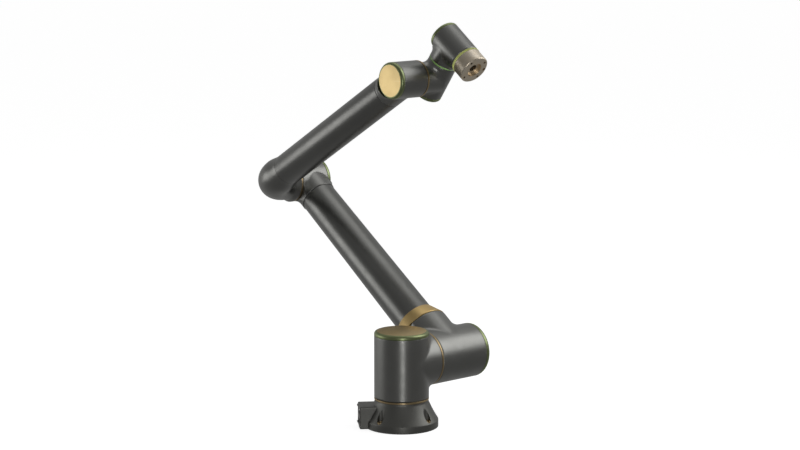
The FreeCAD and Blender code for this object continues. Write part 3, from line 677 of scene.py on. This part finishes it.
def bend_rows():
    """Rings of the forearm's bend: centre across and along, turn of the ring, radius."""
    face, bend, pipe = BEND["face"], BEND["radius"], BEND["pipe"]
    flange = [(0.0, BEND["flange"] - 1.0), (0.0, BEND["flange"]), (RING, BEND["flange"]),
              (9.0, pipe + 1.0)]
    rows = [((face - reach, 0.0), 0.0, radius) for reach, radius in flange]
    side = FOREARM_OFFSET + bend
    for share in np.linspace(0, 1, 25):
        turn = share * math.pi / 2
        centre = (side - bend * math.sin(turn), bend * (1 - math.cos(turn)))
        rows.append((centre, turn, pipe))
    for share in np.linspace(0.15, 1, 8):
        ease = share * share * (3 - 2 * share)
        height = bend + share * (FOREARM_TUBE["start"] - bend)
        radius = pipe + ease * (FOREARM_TUBE["radius"] - pipe)
        rows.append(((FOREARM_OFFSET, height), math.pi / 2, radius))
    return rows


def make_forearm_bend():
    """Smooth bend from the elbow's seam to the forearm tube, swept along its arc."""
    steps = 128
    rows = bend_rows()
    points = []
    for (x, z), turn, radius in rows:
        for step in range(steps):
            around = step / steps * FULL_TURN
            swing = radius * math.cos(around)
            points.append((x + swing * math.sin(turn), radius * math.sin(around),
                           z + swing * math.cos(turn)))
    faces = strip_faces(len(rows), steps) + [tuple(range(steps))]
    piece = new_object("forearm_bend_casting", points, faces, LINKS["forearm"])
    weld(piece)
    finish_piece(sharpen(piece, 40), "forearm", "housing_metal", ["forearm_elbow"])


# ---------------------------------------------------------------- tubes, caps and rings

def at(link, x=0.0, z=0.0, along_x=False, flip=False):
    """A place on a link, with Z along the link or along the joint axis."""
    matrix = LINKS[link] @ Matrix.Translation((x, 0, z))
    if along_x:
        matrix = matrix @ TURN_X
    if flip:
        matrix = matrix @ Matrix.Rotation(math.pi, 4, "X")
    return matrix


def make_upper_arm_tube():
    """Upper-arm tube, which tapers from the collar to the elbow."""
    low, high = UPPER_TUBE["low_radius"], UPPER_TUBE["high_radius"]
    start = NECK["top"] + COLLAR["height"]
    end = UPPER_LENGTH - UPPER_TUBE["end"]
    profile = rounded([(low - 2, start - 4), (low, start - 2), (low, start),
                       (high, end - 0.4), (high - 2, end)], 0.6)
    piece = lathe("upper_arm_tube_skin", profile, at("upper_arm", UPPER_OFFSET))
    finish_piece(sharpen(piece, 40), "upper_arm", "tube_metal", ["upper_arm_tube"])


def make_forearm_tube():
    """Straight forearm tube between the bend and the first wrist drive."""
    radius = FOREARM_TUBE["radius"]
    start, end = FOREARM_TUBE["start"], FOREARM_LENGTH - FOREARM_TUBE["end"]
    profile = rounded([(radius - 2, start + 0.1), (radius, start + 0.4), (radius, end - 0.4),
                       (radius - 2, end - 0.1)], 0.4)
    piece = lathe("forearm_tube_skin", profile, at("forearm", FOREARM_OFFSET))
    finish_piece(sharpen(piece, 40), "forearm", "tube_metal", ["forearm_tube"])


def make_collar():
    """Gold cone between the upper arm's neck and its tube."""
    inner, outer = UPPER_TUBE["low_radius"] - 1, NECK["radius"] - 0.3
    bottom, top = NECK["top"] + 0.5, NECK["top"] + COLLAR["height"]
    profile = rounded([(inner, bottom), (outer, bottom), (outer, bottom + 2),
                       (COLLAR["radius"], top - 1.0), (inner, top)], 0.8)
    piece = lathe("upper_arm_collar_cone", profile, at("upper_arm", UPPER_OFFSET))
    finish_piece(sharpen(piece, 40), "upper_arm", "gold_collar", ["upper_arm_collar"])


def make_cap(name, sizes, matrix, body):
    """Cap on the end of a drive's housing: flat gold face, rounded rim, short skirt; rim and skirt
    are the gold dimmed to olive, painted shade of gold seen at a grazing angle.
    """
    bore, radius = sizes["bore"], sizes["radius"]
    rim = radius - bore
    seam = -(rim + CAP_SKIRT)
    turns = np.linspace(math.pi / 2, 0, 12)
    arc = [(bore + rim * math.cos(turn), CAP_PROUD - rim + rim * math.sin(turn))
           for turn in turns]
    skirt = rounded([(radius, seam + 1.5), (radius, seam), (bore - 1, seam)], 0.6)
    piece = lathe(f"{name}_disc", [(0, CAP_PROUD)] + arc + skirt, matrix)
    # Rim and skirt take the gold dimmed to olive: painted shade.
    finish_piece(sharpen(piece, 40), body, "gold_cap", [f"{name}_cap"], "cap_rim_painted_shade")
    top = CAP_PROUD + FACE_PROUD
    face = lathe(f"{name}_face", rounded([(0, top), (bore, top), (bore, top - 0.7)], 0.2), matrix)
    finish_piece(sharpen(face, 40), body, "gold_cap")


def make_caps():
    """The cap of every joint's drive."""
    make_cap("base", BASE, at("shoulder", z=BASE["high"]), "shoulder")
    make_cap("shoulder", SHOULDER, at("upper_arm", SHOULDER["end"], along_x=True), "upper_arm")
    make_cap("elbow", ELBOW, at("elbow", ELBOW["end"], along_x=True), "upper_arm")
    make_cap("wrist_1", WRIST_1, at("wrist", WRIST_1["end"], along_x=True, flip=True), "forearm")
    make_cap("wrist_2", WRIST_2, at("wrist_1", WRIST_OFFSET, WRIST_2["end"], flip=True), "wrist_1")
    make_cap("wrist_3", WRIST_3, at("wrist_2", WRIST_3["end"], along_x=True, flip=True), "wrist_2")


def make_ring(name, radius, matrix, body, replaced, thickness=RING, inner=8.0,
              slot="gold_ring"):
    """A ring with rounded rims at a joint's seam."""
    profile = rounded([(radius - inner, 0), (radius, 0), (radius, thickness),
                       (radius - inner, thickness)], 0.5)
    finish_piece(sharpen(lathe(name, profile, matrix), 30), body, slot, [replaced])


def make_rings():
    """Gold rings at the seams and the frosted ring at the tool."""
    make_ring("base_seam_band", BASE["radius"], at("base", z=FOOT["height"]), "base",
              "base_seam_ring")
    make_ring("shoulder_seam_band", SHOULDER["radius"],
              at("shoulder", STUB_END, SHOULDER_HEIGHT, True), "shoulder", "shoulder_seam_ring")
    make_ring("elbow_seam_band", ELBOW["radius"], at("forearm", BEND["face"], 0, True),
              "forearm", "elbow_seam_ring")
    make_ring("wrist_1_seam_band", WRIST_1["radius"],
              at("wrist_1", WRIST_1["seam"] + 0.5, 0, True), "wrist_1", "wrist_1_seam_ring")
    make_ring("status_band", WRIST_3["radius"], at("wrist_2", WRIST_3["seam"], 0, True),
              "wrist_2", "status_ring", thickness=4.5, inner=6.0, slot="status_ring")


def make_wrist_line():
    """Thin green line round the foot of the second wrist housing."""
    inner, outer = WRIST_2_ARM["radius"] - 1, WRIST_2_ARM["radius"] + LINE["proud"]
    low, high = LINE["start"], LINE["start"] + LINE["height"]
    profile = rounded([(inner, low), (outer, low), (outer, high), (inner, high)], 0.2)
    piece = lathe("wrist_2_line", profile, at("wrist_2", z=WRIST_2_ARM["low"]), 160)
    finish_piece(piece, "wrist_2", "status_ring", (), "green_line")


# ---------------------------------------------------------------- connector box and tool end

def box_field(points):
    """Connector box with a recess for each socket."""
    face, half = -BOX["reach"], BOX["half_width"]
    wide, tall, deep = BOX["recess"]
    value = slab(points, (face, -half, 0), (-BOX["root"], half, BOX["height"]), 2.2)
    for level in BOX["levels"]:
        recess = slab(points, (face - 6, -wide, level - tall), (face + deep, wide, level + tall),
                      1.0)
        value = cut(value, recess, 0.8)
        socket = rod(points, 0, (0, level), BOX["socket"], face - 6,
                     face + BOX["socket_length"], 0.2)
        value = cut(value, socket, 0.3)
    return value


def make_connector_box():
    """Connector box, with the CAD sockets and screws left to show in it."""
    piece = surface_net("connector_box_casting", box_field, (-90, -28, -3), (-46, 28, 49), 1.0,
                        LINKS["base"])
    # The box takes the darker copy of the housing metal: painted shade.
    finish_piece(sharpen(piece, 35), "base", "housing_metal", ["connector_box"], "shaded_base_metal")


CAD_LOOKS = {
    "power_socket": "socket_plastic",
    "signal_socket": "socket_plastic",
    "connector_box_screws": "steel",
    "base_bottom_plate": "steel",
    "tool_flange": "tool_metal",
}


def dress_cad_nodes():
    """Better materials for the CAD nodes that stay, inside pieces included."""
    for name, cad in frame["nodes"].items():
        look = CAD_LOOKS.get(name, "steel")
        if name.endswith("motor_stator"):
            look = "gold_ring"
        if not cad.data.materials:
            cad.data.materials.append(MATERIALS[look])
        for index in range(len(cad.data.materials)):
            cad.data.materials[index] = MATERIALS[look]
        if name == "tool_flange":
            sharpen(cad, 30)


# ---------------------------------------------------------------- stage

# Degrees, metres and millimetres of lens.
CAMERA = {"azimuth": -5.9, "elevation": 9.3, "distance": 4.444, "lens": 99.0}
AIM = Vector((0.0019, 0.0497, 0.4035))    # middle of the view, in metres


def make_camera():
    """Camera at the height of the arm's middle, turned and raised a little."""
    turn, rise = math.radians(CAMERA["azimuth"]), math.radians(CAMERA["elevation"])
    forward = Vector((-math.sin(turn) * math.cos(rise), math.cos(turn) * math.cos(rise),
                      -math.sin(rise)))
    camera = bpy.data.objects.new("camera", bpy.data.cameras.new("camera"))
    camera.data.lens = CAMERA["lens"]
    camera.location = AIM - forward * CAMERA["distance"]
    camera.rotation_euler = forward.to_track_quat("-Z", "Y").to_euler()
    bpy.context.scene.collection.objects.link(camera)
    bpy.context.scene.camera = camera


def make_floor():
    """Plain white floor that takes a faint shadow."""
    half = 30.0
    mesh = bpy.data.meshes.new("floor")
    mesh.from_pydata([(-half, -half, 0), (half, -half, 0), (half, half, 0), (-half, half, 0)],
                     [], [(0, 1, 2, 3)])
    floor = bpy.data.objects.new("floor", mesh)
    bpy.context.scene.collection.objects.link(floor)
    material, tree, shader = new_material("floor")
    shader.inputs["Base Color"].default_value = (0.55, 0.55, 0.55, 1.0)
    shader.inputs["Roughness"].default_value = 0.9
    shader.inputs["Specular IOR Level"].default_value = 0.0
    shader.inputs["Emission Color"].default_value = (1.0, 1.0, 1.0, 1.0)
    shader.inputs["Emission Strength"].default_value = 0.87
    mesh.materials.append(material)
    floor.visible_glossy = False


def add_softbox(name, direction, distance, width, height, radiance):
    """A rectangular soft light of a given brightness that faces the arm's middle."""
    light = bpy.data.lights.new(name, "AREA")
    light.shape = "RECTANGLE"
    light.size = width
    light.size_y = height
    light.energy = radiance * math.pi * width * height
    lamp = bpy.data.objects.new(name, light)
    way = Vector(direction).normalized()
    lamp.location = AIM + way * distance
    lamp.rotation_euler = way.to_track_quat("Z", "Y").to_euler()
    bpy.context.scene.collection.objects.link(lamp)


def make_world():
    """White for the camera; for reflections a dim studio with a paler wall behind the arm."""
    world = bpy.data.worlds.new("studio")
    bpy.context.scene.world = world
    world.use_nodes = True
    tree = world.node_tree
    background = tree.nodes["Background"]
    output = tree.nodes["World Output"]
    coords = node(tree, "ShaderNodeTexCoord").outputs["Generated"]
    parts = node(tree, "ShaderNodeSeparateXYZ")
    tree.links.new(coords, parts.inputs[0])
    shares = {}
    for axis in "YZ":
        scaled = node(tree, "ShaderNodeMapRange")
        scaled.inputs["From Min"].default_value = -1.0
        tree.links.new(parts.outputs[axis], scaled.inputs["Value"])
        shares[axis] = scaled.outputs["Result"]
    depth = ramp(tree, shares["Y"], [(0.0, 0.13), (0.55, 0.15), (0.80, 0.30), (1.0, 0.42)])
    height = ramp(tree, shares["Z"], [(0.0, 0.9), (0.45, 1.0), (0.75, 0.9), (1.0, 1.5)])
    tones = node(tree, "ShaderNodeMix", data_type="RGBA", blend_type="MULTIPLY")
    tones.inputs[MIX_SHARE].default_value = 1.0
    tree.links.new(depth, tones.inputs[MIX_ONE])
    tree.links.new(height, tones.inputs[MIX_TWO])
    tree.links.new(tones.outputs[MIX_OUT], background.inputs["Color"])
    white = node(tree, "ShaderNodeBackground", Strength=1.0)
    white.inputs["Color"].default_value = (1.0, 1.0, 1.0, 1.0)
    choose = node(tree, "ShaderNodeMixShader")
    tree.links.new(node(tree, "ShaderNodeLightPath").outputs["Is Camera Ray"], choose.inputs[0])
    tree.links.new(background.outputs[0], choose.inputs[1])
    tree.links.new(white.outputs[0], choose.inputs[2])
    tree.links.new(choose.outputs[0], output.inputs["Surface"])


def make_light():
    """Soft boxes: level on the left, high on the right, a strip in front, a dim one above."""
    bpy.context.scene.view_settings.view_transform = "Standard"
    add_softbox("left_box", (-1.0, 0.22, -0.03), 2.4, 1.5, 1.0, 1.3)
    add_softbox("right_box", (0.84, 0.0, 0.58), 2.4, 1.7, 2.1, 1.75)
    add_softbox("front_strip", (-0.02, -1.0, -0.10), 4.9, 0.8, 2.4, 6.5)
    add_softbox("top_box", (0.1, 0.35, 1.0), 2.4, 1.6, 1.2, 0.7)


make_foot()
make_mount_seats()
make_connector_box()
make_housings()
make_forearm_bend()
make_upper_arm_tube()
make_forearm_tube()
make_collar()
make_caps()
make_rings()
make_wrist_line()
dress_cad_nodes()
make_camera()
make_floor()
make_world()
make_light()
